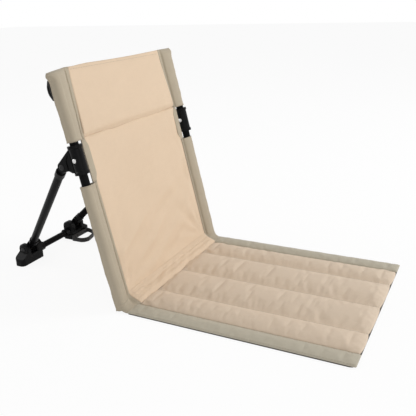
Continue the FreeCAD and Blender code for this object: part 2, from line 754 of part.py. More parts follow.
def sleeve_section(side):
    """Section of a sleeve: a ring round the pole with a flat tail towards the panel."""
    inwards = -SIDES[side]
    outside = float(sleeve_outside)
    tail = float(pole_x - seam_x)
    thick = float(S.cloth)
    touch = math.atan2(thick, tail) + math.acos(outside / math.hypot(tail, thick))
    meet = V(outside * math.cos(touch) * inwards, outside * math.sin(touch), 0)
    far = V(-outside * inwards, 0, 0)
    side_point = V(outside * math.cos((touch + math.pi) / 2) * inwards,
                   outside * math.sin((touch + math.pi) / 2), 0)
    upper = Part.Arc(meet, side_point, far).toShape()
    lower = Part.Arc(far, V(side_point.x, -side_point.y, 0), V(meet.x, -meet.y, 0)).toShape()
    tip = V(tail * inwards, thick, 0)
    tip_low = V(tail * inwards, -thick, 0)
    straight = [
        Part.LineSegment(V(meet.x, -meet.y, 0), tip_low).toShape(),
        Part.LineSegment(tip_low, tip).toShape(),
        Part.LineSegment(tip, meet).toShape()]
    skin = Part.Face(Part.Wire([upper, lower] + straight))
    hole = Part.Face(Part.Wire([Part.makeCircle(float(sleeve_bore))]))
    return skin.cut(hole)


def pole_sleeve(side, label, low, high):
    """A sleeve between two heights of the back."""
    shape = sleeve_section(side).extrude(V(0, 0, high - low))
    soft(label, shape, on_back(SIDES[side] * pole_x, S.pole_setback, low))


def window_binding(side):
    """Folded edge strip on the panel's side of the opening round a hub."""
    name = f"{side}_window_binding"
    body = new_body(name)
    drawn = sketch(body, "XY_Plane", "strip")
    half = S.binding_thickness / 2
    outline(drawn, [
        (0, -half), (S.binding_width - half, -half), (S.binding_width, -half / 2),
        (S.binding_width, half / 2), (S.binding_width - half, half), (0, half)])
    pad(body, drawn, S.window_height - S.cloth_gap * 2)
    turn = at(axis=V(0, 0, 1), angle=0 if side == "right" else 180)
    place = on_back(SIDES[side] * seam_x, S.pole_setback, window_low + S.cloth_gap)
    node(body, name, place.multiply(turn))


for side in SIDES:
    sleeve_low = pole_foot - float(S.cap_head) + float(S.cloth)
    pole_sleeve(side, f"{side}_lower_sleeve", sleeve_low, float(window_low))
    pole_sleeve(side, f"{side}_upper_sleeve", float(window_high), top_edge)
    window_binding(side)


def fold_strip():
    """Curved cloth from the foot of the back panel down to a rolled welt on the fold line."""
    rear = float(S.pole_setback)
    high = float(S.strip_height) - seam_gap
    roll = float(S.welt_radius)
    thick = panel_half

    start = -panel_edge
    belly_rear = rear * 0.8
    belly_up = high * 0.42
    meet = roll * 0.6
    slope = math.sqrt(0.5)

    def skin(offset):
        return Part.Arc(
            V(start, rear + offset, high), V(start, belly_rear + offset, belly_up - offset / 2),
            V(start, meet + offset * slope, meet - offset * slope)).toShape()

    front = skin(-thick)
    back = skin(thick)
    ends = [
        Part.LineSegment(front.Vertexes[1].Point, back.Vertexes[1].Point).toShape(),
        Part.LineSegment(back.Vertexes[0].Point, front.Vertexes[0].Point).toShape()]
    band = Part.Face(Part.Wire(Part.__sortEdges__([front, back] + ends)))
    welt = Part.Face(Part.Wire([Part.makeCircle(roll, V(start, 0, 0), V(1, 0, 0))]))
    section = band.fuse(welt).removeSplitter()
    solid = section.extrude(V(2 * panel_edge, 0, 0)).removeSplitter()
    soft("fold_strip", solid.Solids[0], BACK)


fold_strip()


def grab_loop():
    """A sewn ring of webbing on the rear of the left upper sleeve."""
    body = new_body("grab_loop")
    drawn = sketch(body, "YZ_Plane", "ring")
    outline(drawn, [
        (0, 0), (S.grab_bulge, S.grab_slope), (S.grab_bulge, S.grab_length - S.grab_slope),
        (0, S.grab_length)])
    pad(body, drawn, S.grab_width, True)

    def across(edge):
        return edge.BoundBox.XLength > float(S.grab_width) - 0.01

    def outer_bend(edge):
        return across(edge) and edge.BoundBox.YMin > 1

    round_edges(body, "bends", S.grab_round, outer_bend)
    hollow(body, S.strap_thickness, lambda face: face.BoundBox.XLength < 0.01)
    rear = S.pole_setback + sleeve_outside + S.cloth_gap
    node(body, "grab_loop", on_back(-pole_x, rear, S.back_length - S.grab_drop))


grab_loop()

# Seat: base cloth, foam strips, quilted cover and side bands
seat_front = -float(fold_y)
seat_rear = float(fold_y - S.welt_radius - S.fold_clearance)
base_top = float(S.seat_base)
band_inner = half_width - S.band_width
cover_edge = float(band_inner - S.cloth_gap)
seams = [-cover_edge, -float(S.seam_spacing), 0.0, float(S.seam_spacing), cover_edge]


def seat_base():
    body = new_body("seat_base")
    drawn = sketch(body, "XY_Plane", "cloth")
    front = -fold_y
    rear = fold_y - S.welt_radius - S.fold_clearance
    outline(drawn, [(-half_width, front), (half_width, front), (half_width, rear), (-half_width, rear)])
    pad(body, drawn, S.seat_base)

    def front_corner(edge):
        box = edge.BoundBox
        return box.ZLength > float(S.seat_base) - 0.01 and box.YMax < 0

    round_edges(body, "corners", S.seat_corner, front_corner)
    node(body, "seat_base", at())


def humps(y, edges, low, side_height, crowns):
    """Section at one place along the seat: a flat base under a row of arcs."""
    points = [V(x, y, low + side_height) for x in edges]
    wire = [Part.LineSegment(V(edges[0], y, low), V(edges[-1], y, low)).toShape(),
            Part.LineSegment(V(edges[-1], y, low), points[-1]).toShape()]
    for i in range(len(edges) - 1, 0, -1):
        top = V((edges[i] + edges[i - 1]) / 2, y, low + crowns)
        wire.append(Part.Arc(points[i], top, points[i - 1]).toShape())
    wire.append(Part.LineSegment(points[0], V(edges[0], y, low)).toShape())
    return Part.Wire(wire)


def drawn_in(edges, front, rear, low, side_height, crown, end_crown):
    """A long soft form that is full along its middle and drawn in at both ends."""
    run = float(S.end_run)
    half_way = (crown + end_crown) / 2 + float(S.end_fullness)
    places = [(front, end_crown), (front + run / 2, half_way), (front + run, crown),
              (rear - run, crown), (rear - run / 2, half_way), (rear, end_crown)]
    sections = [humps(y, edges, low, side_height, height) for y, height in places]
    return Part.makeLoft(sections, True, True)


def channel_foam(i, grow):
    """Foam of one channel, grown by a clearance for the hollow that holds it."""
    margin = float(S.foam_margin) - grow
    skin = float(S.cloth + S.cloth_gap) - grow
    edges = [seams[i] + margin, seams[i + 1] - margin]
    ends = float(S.foam_end) - grow
    crown = float(S.channel_crown) - skin
    end_crown = float(S.end_crown) - skin
    side_height = float(S.foam_side) + grow
    return drawn_in(edges, seat_front + ends, seat_rear - ends, base_top, side_height, crown, end_crown)


seat_base()
cover = drawn_in(
    seams, seat_front, seat_rear, base_top, float(S.seam_height), float(S.channel_crown), float(S.end_crown))
for i, place in enumerate(("left_outer", "left_inner", "right_inner", "right_outer")):
    soft(f"{place}_foam", channel_foam(i, 0))
    cover = cover.cut(channel_foam(i, float(S.cloth_gap)))
soft("quilted_cover", cover)
seat_plan = Part.makeBox(
    float(S.chair_width), seat_rear - seat_front, float(S.channel_crown) * 2,
    V(-float(half_width), seat_front, 0))
plan_corners = [edge for edge in seat_plan.Edges if edge.BoundBox.ZLength > 1 and edge.BoundBox.YMax < 0]
seat_plan = seat_plan.makeFillet(float(S.seat_corner), plan_corners)
for side, sign in SIDES.items():
    edges = sorted([sign * float(band_inner), sign * float(half_width)])
    band = drawn_in(
        edges, seat_front, seat_rear, base_top, float(S.band_side), float(S.band_crown), float(S.end_crown))
    soft(f"{side}_seat_band", band.common(seat_plan).Solids[0])

# Everything is sound before a file is written
doc.recompute()
failed = [part.Name for part in doc.Objects if {"Invalid", "Error"} & set(part.State)]
failed += [part.Label for part in nodes if part.Shape.isNull() or not part.Shape.isValid()]
if failed:
    raise RuntimeError("failed: " + ", ".join(failed))
os.makedirs("parts", exist_ok=True)
for part in nodes:
    part.Shape.exportStep(f"parts/{part.Label}.step")
print(len(nodes), "nodes;", sum(len(part.Shape.Solids) for part in nodes), "solids")
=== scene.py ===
import math

import bmesh
import bpy
from mathutils import Matrix, Vector, noise
from mathutils.bvhtree import BVHTree


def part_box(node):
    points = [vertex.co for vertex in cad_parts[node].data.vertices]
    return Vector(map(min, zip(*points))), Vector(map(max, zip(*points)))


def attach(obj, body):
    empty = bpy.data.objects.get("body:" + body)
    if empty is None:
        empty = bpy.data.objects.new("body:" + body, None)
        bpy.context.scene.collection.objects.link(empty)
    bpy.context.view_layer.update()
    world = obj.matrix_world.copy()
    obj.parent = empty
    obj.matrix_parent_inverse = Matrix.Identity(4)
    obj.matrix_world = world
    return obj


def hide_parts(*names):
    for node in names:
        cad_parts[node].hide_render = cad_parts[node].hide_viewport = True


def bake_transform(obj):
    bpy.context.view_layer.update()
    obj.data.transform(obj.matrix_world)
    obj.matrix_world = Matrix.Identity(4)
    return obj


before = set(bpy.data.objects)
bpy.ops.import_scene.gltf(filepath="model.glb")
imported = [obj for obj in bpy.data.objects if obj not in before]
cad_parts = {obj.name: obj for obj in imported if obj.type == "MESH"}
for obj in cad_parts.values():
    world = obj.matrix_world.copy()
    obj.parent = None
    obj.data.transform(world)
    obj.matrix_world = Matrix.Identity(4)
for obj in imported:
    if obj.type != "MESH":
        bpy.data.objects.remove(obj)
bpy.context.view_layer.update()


# Side poles, legs and cross bar: thin metal tube with a semi-gloss black coat. The coat is a
# little uneven, and rubbed duller where hands, cloth and the folding joints pass over it.

class Tone:
    """A node's output that can be written in sums; each sum adds a node to the finish."""

    def __init__(self, finish, socket):
        self.finish = finish
        self.socket = socket

    def combine(self, operation, first, second):
        return self.finish.node("ShaderNodeMath", {"operation": operation}, {0: first, 1: second})

    def __add__(self, other):
        return self.combine("ADD", self, other)

    def __radd__(self, other):
        return self.combine("ADD", other, self)

    def __mul__(self, other):
        return self.combine("MULTIPLY", self, other)

    def __rmul__(self, other):
        return self.combine("MULTIPLY", other, self)


class Finish:
    """A procedural material with one principled shader, and the way to add nodes to it."""

    def __init__(self, name, **constants):
        self.material = bpy.data.materials.new(name)
        self.material.use_nodes = True
        self.tree = self.material.node_tree
        self.shader = self.tree.nodes["Principled BSDF"]
        self.paint(**constants)

    def paint(self, **tones):
        """Sets sockets of the shader, each to a constant or to a tone."""
        for socket, tone in tones.items():
            label = socket.replace("_", " ").title().replace("Ior", "IOR")
            self.feed(self.shader, label, tone)
        return self

    def feed(self, node, socket, value):
        if isinstance(value, Tone):
            self.tree.links.new(value.socket, node.inputs[socket])
        else:
            node.inputs[socket].default_value = value

    def node(self, kind, settings=None, sockets=None, output=0):
        made = self.tree.nodes.new(kind)
        for name, value in (settings or {}).items():
            setattr(made, name, value)
        for socket, value in (sockets or {}).items():
            self.feed(made, socket, value)
        return Tone(self, made.outputs[output])

    def coordinates(self, kind="Object"):
        return self.node("ShaderNodeTexCoord", output=kind)

    def speckle(self, where, scale, detail=3.0, roughness=0.6, stretch=None):
        """Noise from 0 to 1; stretch lengthens it along the three axes."""
        if stretch is not None:
            where = self.node("ShaderNodeMapping", sockets={"Vector": where, "Scale": stretch})
        return self.node("ShaderNodeTexNoise", sockets={
            "Vector": where, "Scale": scale, "Detail": detail, "Roughness": roughness})

    def blend(self, factor, low, high):
        """A colour between two others; the node's colours are its sockets 6 and 7, and 2 out."""
        return self.node("ShaderNodeMix", {"data_type": "RGBA"}, {0: factor, 6: low, 7: high},
                         output=2)

    def bump(self, height, depth):
        return self.node("ShaderNodeBump", sockets={
            "Height": height, "Distance": depth, "Strength": 1.0})


def dress(finish, *names):
    """Gives moulded or metal pieces that keep their own shape their finish."""
    for name in names:
        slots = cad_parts[name].data.materials
        slots.clear()
        slots.append(finish.material)


def black_coat():
    finish = Finish("black_coated_tube", specular_ior_level=0.03)
    where = finish.coordinates()
    drift = finish.speckle(where, 26.0)
    rub = finish.speckle(where, 190.0, 4.0, 0.7)
    orange_peel = finish.speckle(where, 1500.0, 2.0)
    return finish.paint(
        base_color=finish.blend(drift, (0.003, 0.003, 0.0033, 1), (0.009, 0.009, 0.0094, 1)),
        roughness=0.24 + 0.1 * rub + 0.06 * drift,
        normal=finish.bump(orange_peel, 0.00004))


dress(black_coat(), "left_side_pole", "right_side_pole", "left_leg", "right_leg", "foot_bar")


# Hubs, leg ends, feet, pole caps and washers: one hard black plastic, injection moulded with a
# fine spark grain. Scuffs show paler on the feet, which are dragged about on the ground.

def black_moulding(name, scuff):
    finish = Finish(name, specular_ior_level=0.08)
    where = finish.coordinates()
    grain = finish.speckle(where, 2400.0, 2.0)
    cloud = finish.speckle(where, 60.0)
    scratch = finish.speckle(where, 110.0, 6.0, 0.75, (1.0, 0.35, 2.2))
    worn = finish.node("ShaderNodeMapRange", sockets={
        "Value": scratch, "From Min": 0.58, "From Max": 0.74, "To Min": 0.0, "To Max": scuff})
    clean = finish.blend(cloud, (0.0025, 0.0025, 0.0028, 1), (0.007, 0.007, 0.0074, 1))
    return finish.paint(
        base_color=finish.blend(worn, clean, (0.045, 0.044, 0.042, 1)),
        roughness=0.22 + 0.12 * cloud + 0.25 * worn,
        normal=finish.bump(grain, 0.00006))


dress(black_moulding("black_moulding", 0.25),
      "left_hub", "right_hub", "left_leg_upper_eye", "right_leg_upper_eye",
      "left_leg_foot_eye", "right_leg_foot_eye", "pole_caps", "foot_washers")
dress(black_moulding("black_moulding_scuffed", 0.7), "left_foot", "right_foot")


# Hub rivets, leg pins, foot pins and strap rivets: turned steel. The hub rivets are left bright;
# the pins that the legs turn on and the strap's rivets are blackened to match the mouldings.

def turned_steel(name, bright, dull, roughness):
    finish = Finish(name, metallic=1.0)
    where = finish.coordinates()
    turning = finish.speckle(where, 900.0, 3.0, 0.6, (0.15, 1.0, 1.0))
    tarnish = finish.speckle(where, 140.0)
    return finish.paint(
        base_color=finish.blend(tarnish, bright + (1,), dull + (1,)),
        roughness=roughness + 0.18 * turning,
        normal=finish.bump(turning, 0.00003))


dress(turned_steel("bright_steel", (0.72, 0.72, 0.71), (0.56, 0.55, 0.54), 0.2), "hub_rivets")
dress(turned_steel("blackened_steel", (0.045, 0.045, 0.046), (0.025, 0.024, 0.024), 0.4),
      "leg_pivot_pins", "foot_pins", "strap_rivets")


# Strap loop and grab loop: black polyester webbing. The strap loop is riveted to the right foot
# and ties the folded chair together; the grab loop is sewn behind the left upper sleeve.

FOLD_Y, FOLD_Z, LEAN = 0.213, 0.0055, math.radians(13)
back_frame = Matrix.Translation((0, FOLD_Y, FOLD_Z)) @ Matrix.Rotation(-LEAN, 4, "X")


def piece_from(name, form, finish):
    """Makes a finished mesh a smooth piece at the origin."""
    mesh = bpy.data.meshes.new(name)
    form.to_mesh(mesh)
    form.free()
    mesh.shade_smooth()
    mesh.materials.append(finish.material)
    piece = bpy.data.objects.new(name, mesh)
    bpy.context.scene.collection.objects.link(piece)
    return piece


def thicken(piece, thickness, offset=-1.0, even=True):
    """Gives a cloth its thickness; one that bends at a joint isn't kept even, or it would spike."""
    wall = piece.modifiers.new("cloth", "SOLIDIFY")
    wall.thickness = thickness
    wall.offset = offset
    wall.use_even_offset = even


def webbing():
    finish = Finish("black_webbing", sheen_weight=0.15, specular_ior_level=0.3)
    where = finish.coordinates("UV")
    ribs = finish.node("ShaderNodeTexWave", {"bands_direction": "X"}, {
        "Vector": where, "Scale": 330.0, "Distortion": 1.2, "Detail": 1.0}, "Fac")
    cords = finish.node("ShaderNodeTexWave", {"bands_direction": "Y"}, {
        "Vector": where, "Scale": 190.0, "Distortion": 0.8}, "Fac")
    weave = ribs * 0.7 + cords * 0.5
    fluff = finish.speckle(where, 500.0)
    tone = weave * 0.6 + fluff * 0.3
    return finish.paint(
        base_color=finish.blend(tone, (0.006, 0.006, 0.006, 1), (0.03, 0.03, 0.031, 1)),
        roughness=0.62 + 0.2 * fluff,
        normal=finish.bump(weave, 0.00025))


strap_finish = webbing()
STRAP_THICK, STRAP_WIDTH, STRAP_ROWS = 0.0019, 0.0105, 4
LONG_RUN = 0.006


def strap_ring(corners, rounding, width, across, lay):
    """A closed ring of webbing: corners in a plane, rounded, drawn out along the ring's axis."""
    form = bmesh.new()
    verts = [form.verts.new(corner) for corner in corners]
    for first, second in zip(verts, verts[1:] + verts[:1]):
        form.edges.new((first, second))
    bmesh.ops.bevel(form, geom=form.verts[:], offset=rounding, affect="VERTICES", segments=9,
                    profile=0.5, material=-1)
    runs = [edge for edge in form.edges if edge.calc_length() > LONG_RUN]
    bmesh.ops.subdivide_edges(form, edges=runs, cuts=7)
    form.edges.ensure_lookup_table()
    track = {}
    edge, vert = form.edges[0], form.edges[0].verts[0]
    length = 0.0
    while vert not in track:
        track[vert] = length
        length += edge.calc_length()
        vert = edge.other_vert(vert)
        edge = [e for e in vert.link_edges if e != edge][0]
    layer = form.loops.layers.uv.new("cloth")
    level = {vert: 0 for vert in track}
    edges = form.edges[:]
    for row in range(STRAP_ROWS):
        grown = bmesh.ops.extrude_edge_only(form, edges=edges)["geom"]
        fresh = [item for item in grown if isinstance(item, bmesh.types.BMVert)]
        edges = [item for item in grown if isinstance(item, bmesh.types.BMEdge)]
        for vert in fresh:
            ends = [edge.other_vert(vert) for edge in vert.link_edges]
            below = [end for end in ends if end not in fresh][0]
            track[vert] = track[below]
            level[vert] = row + 1
            vert.co = below.co + across * (width / STRAP_ROWS)
    for face in form.faces:
        along = [track[loop.vert] for loop in face.loops]
        wraps = max(along) - min(along) > length / 2
        for loop, place in zip(face.loops, along):
            shifted = place + length if wraps and place < length / 2 else place
            loop[layer].uv = (shifted, level[loop.vert] * width / STRAP_ROWS)
    for vert in form.verts:
        vert.co = lay @ vert.co
    bmesh.ops.recalc_face_normals(form, faces=form.faces[:])
    return form, length


# The strap's near side lies straight along the foot, and its bow has two cut corners, rounded.
STRAP_CUT, STRAP_ROUNDING = 0.012, 0.006
NEAR_SHIFT, FAR_SHIFT, BOW_DRAW, BOW_SLANT = 0.008, 0.004, 0.002, 0.014
strap_low, strap_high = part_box("strap_loop")
strap_rear = strap_high.y - STRAP_THICK / 2
strap_front = strap_low.y + STRAP_THICK / 2
strap_left = strap_low.x + STRAP_THICK / 2
strap_right = strap_high.x - STRAP_THICK / 2
strap_near = Vector((strap_left - NEAR_SHIFT, strap_rear, 0))
strap_bow = Vector((strap_left - NEAR_SHIFT, strap_front + BOW_DRAW, 0))
strap_bow_far = Vector((strap_right - BOW_SLANT, strap_front + BOW_SLANT, 0))
strap_far = Vector((strap_right - FAR_SHIFT, strap_rear, 0))


def cut_corner(corner, other):
    """Where a corner is cut off, on the way to another one."""
    return corner + (other - corner).normalized() * STRAP_CUT


strap_corners = [
    strap_near, cut_corner(strap_bow, strap_near), cut_corner(strap_bow, strap_bow_far),
    cut_corner(strap_bow_far, strap_bow), cut_corner(strap_bow_far, strap_far), strap_far]
strap_form, strap_length = strap_ring(
    strap_corners, STRAP_ROUNDING, STRAP_WIDTH, Vector((0, 0, 1)),
    Matrix.Translation((0, 0, strap_low.z)))
strap = piece_from("strap_loop_webbing", strap_form, strap_finish)
thicken(strap, STRAP_THICK, 0.0)
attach(strap, "foot")
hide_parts("strap_loop")

GRAB_X, GRAB_HALF, GRAB_ROUNDING = -0.1905, 0.007, 0.0035
GRAB_REAR = 0.0228 + STRAP_THICK / 2
GRAB_BULGE, GRAB_LOW, GRAB_HIGH, GRAB_RUN = 0.0062, 0.3965, 0.4335, 0.013
grab_corners = [
    (0, GRAB_REAR, GRAB_LOW), (0, GRAB_REAR + GRAB_BULGE, GRAB_LOW + GRAB_RUN),
    (0, GRAB_REAR + GRAB_BULGE, GRAB_HIGH - GRAB_RUN), (0, GRAB_REAR, GRAB_HIGH)]
grab_form, grab_length = strap_ring(
    grab_corners, GRAB_ROUNDING, 2 * GRAB_HALF, Vector((1, 0, 0)),
    back_frame @ Matrix.Translation((GRAB_X - GRAB_HALF, 0, 0)))
grab = piece_from("grab_loop_webbing", grab_form, strap_finish)
thicken(grab, STRAP_THICK, 0.0)
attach(grab, "back")
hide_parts("grab_loop")


# Back panels: peach coated oxford cloth. The lower panel hangs a little hollow between the poles;
# the upper one is a doubled header, sewn over it along a soft level fold.

def cloth(name, tint, shade, threads=900.0):
    """Coated plain weave: crossing threads, slubs, and a slight drift of the dye."""
    finish = Finish(name, sheen_weight=0.12, sheen_roughness=0.5, specular_ior_level=0.25)
    where = finish.coordinates("UV")
    warp = finish.node("ShaderNodeTexWave", {"bands_direction": "X"}, {
        "Vector": where, "Scale": threads / 3, "Distortion": 0.6, "Detail": 1.0}, "Fac")
    weft = finish.node("ShaderNodeTexWave", {"bands_direction": "Y"}, {
        "Vector": where, "Scale": threads / 3, "Distortion": 0.6, "Detail": 1.0}, "Fac")
    weave = warp * 0.5 + weft * 0.5
    slub = finish.speckle(where, 240.0, 4.0, 0.7, (1.0, 0.12, 1.0))
    slub_across = finish.speckle(where, 240.0, 4.0, 0.7, (0.12, 1.0, 1.0))
    drift = finish.speckle(where, 7.0, 2.0)
    mottle = finish.speckle(where, 75.0, 2.0)
    tone = 0.26 * weave + 0.24 * slub + 0.24 * slub_across + 0.24 * drift + 0.18 * mottle
    return finish.paint(
        base_color=finish.blend(tone, shade + (1,), tint + (1,)),
        roughness=0.72 + 0.14 * slub,
        normal=finish.bump(weave + 0.6 * slub + 0.6 * slub_across, 0.00022))


peach = cloth("peach_oxford_cloth", (0.79, 0.615, 0.447), (0.655, 0.505, 0.36))
PANEL_EDGE, SETBACK, CLOTH = 0.1617, 0.013, 0.0012
LOWER_LOW, HEM, TOP_EDGE = 0.0155, 0.322, 0.452


def on_back(x, rear, up):
    """A place in the leaning frame of the back: across, behind the fold line and up the poles."""
    return back_frame @ Vector((x, rear, up))


def cut_cloth(width, length, columns, rows, place):
    """A cloth of width by length whose every crossing goes where place says."""
    form = bmesh.new()
    bmesh.ops.create_grid(form, x_segments=columns, y_segments=rows, size=0.5)
    layer = form.loops.layers.uv.new("cloth")
    for face in form.faces:
        for loop in face.loops:
            loop[layer].uv = ((loop.vert.co.x + 0.5) * width, (loop.vert.co.y + 0.5) * length)
    for vert in form.verts:
        vert.co = place((vert.co.x + 0.5) * width, (vert.co.y + 0.5) * length)
    return form


def ease(low, high, value):
    """A smooth step from 0 to 1."""
    t = min(max((value - low) / (high - low), 0.0), 1.0)
    return t * t * (3 - 2 * t)


def ripple(x, up, seed):
    """Slack of stretched cloth, about -1 to 1: long soft waves that climb to the right."""
    along = 0.92 * x + 0.39 * up
    across = 0.92 * up - 0.39 * x
    wide = noise.noise(Vector((along * 5, across * 24, seed)))
    fine = noise.noise(Vector((along * 12, across * 50, seed + 7)))
    return wide + 0.35 * fine


HOLLOW_LOW, HOLLOW_MIDDLE, HOLLOW_EASED = 0.0003, 0.0067, 0.0035


def hollow(x, up):
    """How far the cloth hangs behind the pole axis at a place on the back."""
    middle = HOLLOW_MIDDLE * ease(0.03, 0.2, up)
    depth = HOLLOW_LOW + middle - HOLLOW_EASED * ease(HEM, 0.44, up)
    return depth * (1 - (x / PANEL_EDGE) ** 2)


CORNER_PULLS = ((1, 1.0), (-1, 0.6))
PULL_FADE = 0.12


def drag(x, up):
    """Folds that the cloth's own pull draws out of the two lower corners, about -1 to 1."""
    folds = 0.0
    for side, strength in CORNER_PULLS:
        over, above = PANEL_EDGE - side * x, up - LOWER_LOW
        far = math.hypot(over, above)
        turn = math.atan2(above, over)
        fold = noise.noise(Vector((turn * 3.4, far * 6, 4.0 + side)))
        folds += strength * fold * ease(0.004, 0.035, far) * math.exp(-far / PULL_FADE)
    return folds


SLACK, LOW_SLACK, DRAG_FOLD, SEAM_PULL = 0.005, 0.005, 0.011, 0.00036


def lower_panel_point(u, v):
    x = u - PANEL_EDGE
    up = LOWER_LOW + v
    calm = ease(0, 0.03, v) * ease(0, 0.02, PANEL_EDGE - abs(x))
    by_seam = ease(0.11, 0.16, abs(x)) * ease(0, 0.05, v)
    pull = SEAM_PULL * math.sin(abs(x) * 260 + up * 40) * by_seam
    slack = (SLACK + LOW_SLACK * (1 - ease(0.05, 0.22, up))) * ripple(x, up, 3.0)
    slack += DRAG_FOLD * drag(x, up)
    return on_back(x, SETBACK - CLOTH / 2 + hollow(x, up) + calm * (slack + pull), up)


LOWER_LAP = 0.002
lower_length = HEM + LOWER_LAP - LOWER_LOW
lower_form = cut_cloth(2 * PANEL_EDGE, lower_length, columns=72, rows=66, place=lower_panel_point)
lower_panel = piece_from("lower_back_cloth", lower_form, peach)
thicken(lower_panel, CLOTH)
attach(lower_panel, "back")
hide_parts("lower_back_panel")

HEADER_LAP, HEADER_LIFT, HEADER_PUFF, HEADER_TUCK = 0.001, 0.0012, 0.0042, 0.0044
HEADER_DIP, HEADER_WAVE = 0.0022, 0.002
TAPE_REACH, TOP_DROOP = 0.0098, 0.003
header_length = TOP_EDGE - HEM + HEADER_LAP


def header_point(u, v):
    x = (u - PANEL_EDGE) * (1 - TAPE_REACH / PANEL_EDGE * v / header_length)
    dip = HEADER_DIP * (1 - (x / PANEL_EDGE) ** 2) + TOP_DROOP * ease(0.09, 0.155, -x)
    up = HEM - HEADER_LAP + v * (1 - dip / (TOP_EDGE - HEM))
    sides = ease(0, 0.035, PANEL_EDGE - abs(u - PANEL_EDGE))
    roll = ease(0, 0.016, v) * (1 - ease(0.016, 0.105, v))
    tuck = HEADER_TUCK * (1 - ease(0, 0.010, v))
    waves = HEADER_WAVE * ripple(x, up + 0.3, 11.0) * ease(0, 0.03, v) * sides
    forward = HEADER_LIFT + HEADER_PUFF * roll * (0.45 + 0.55 * sides) - tuck
    return on_back(x, SETBACK - CLOTH / 2 + hollow(x, up) - forward + waves, up)


header_form = cut_cloth(2 * PANEL_EDGE, header_length, columns=72, rows=40, place=header_point)
header = piece_from("upper_back_cloth", header_form, peach)
thicken(header, 2 * CLOTH)
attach(header, "back")
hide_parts("upper_back_panel")


# Pole sleeves: khaki oxford cloth wrapped round each pole and sewn to the panel's edge, in an
# upper and a lower length with the hub's window between them. The top corners are sewn flat.

khaki = cloth("khaki_sleeve_cloth", (0.50, 0.43, 0.325), (0.385, 0.33, 0.245), 800.0)
SIDES = (("left", -1), ("right", 1))
POLE_X, SEAM_X, SLEEVE_R, SLEEVE_EDGE, SLEEVE_CLOTH = 0.1905, 0.162, 0.0095, 0.0012, 0.001
TAPE_WIDTH, TAPE_RISE = 0.0065, 0.0018
SEAM_GROOVE, GROOVE_WIDTH, GROOVE_SHARE = 0.0022, 0.0014, 0.6
SLEEVE_TAIL = POLE_X - SEAM_X
tail_span = math.hypot(SLEEVE_TAIL, SLEEVE_EDGE)
touch = math.atan2(SLEEVE_EDGE, SLEEVE_TAIL) + math.acos(SLEEVE_R / tail_span)
straight = math.sqrt(SLEEVE_TAIL ** 2 + SLEEVE_EDGE ** 2 - SLEEVE_R ** 2)
tube_in, tube_front = SLEEVE_R * math.cos(touch), SLEEVE_R * math.sin(touch)
SLEEVE_CUT = 2 * straight + SLEEVE_R * (2 * math.pi - 2 * touch)


def sleeve_section(run, reach=0.0):
    """A place on the sleeve's section, inwards and rearwards of the pole, and its outward normal.

    The front is sewn to the panel with a flat tape; reach is how far the tape runs on past SEAM_X,
    and the seam's groove follows it by its share.
    """
    front = run <= SLEEVE_CUT / 2
    way = -1 if front else 1
    run = run if front else SLEEVE_CUT - run
    if run >= straight:
        angle = touch + (run - straight) / SLEEVE_R
        normal = Vector((math.cos(angle), way * math.sin(angle)))
        return SLEEVE_R * normal.x, SLEEVE_R * normal.y, normal
    tail = SLEEVE_TAIL + reach
    inwards = tail + (tube_in - tail) * run / straight
    depth = SLEEVE_EDGE + (tube_front - SLEEVE_EDGE) * run / straight
    if front:
        groove = SLEEVE_TAIL - TAPE_WIDTH + GROOVE_SHARE * reach
        climb = min(max((groove - inwards) / (groove - tube_in), 0.0), 1.0)
        depth = TAPE_RISE + (tube_front - TAPE_RISE) * math.sin(climb * math.pi / 2) ** 0.85
        depth -= SEAM_GROOVE * math.exp(-((inwards - groove) / GROOVE_WIDTH) ** 2)
    return inwards, way * depth, Vector((math.cos(touch), way * math.sin(touch)))


SLEEVE_LOW, WINDOW_HIGH = 0.0005, 0.322
WINDOW_LOW = {"left": 0.242, "right": 0.249}
TOP_FLARE = {"left": 0.007, "right": 0.005}
RIM_RISE, RIM_TURN, RIM_WIDTH = 0.0024, 0.62, 0.001
CORNER_ZONE, SAG_ZONE, FLAT_ZONE, FLATTENED = 0.024, 0.05, 0.0065, 0.82
CREASE_RISE, HEM_RISE, HEM_WIDTH = 0.0009, 0.0007, 0.005
SLEEVE_STEPS, SLEEVE_ROW = 112, 0.004


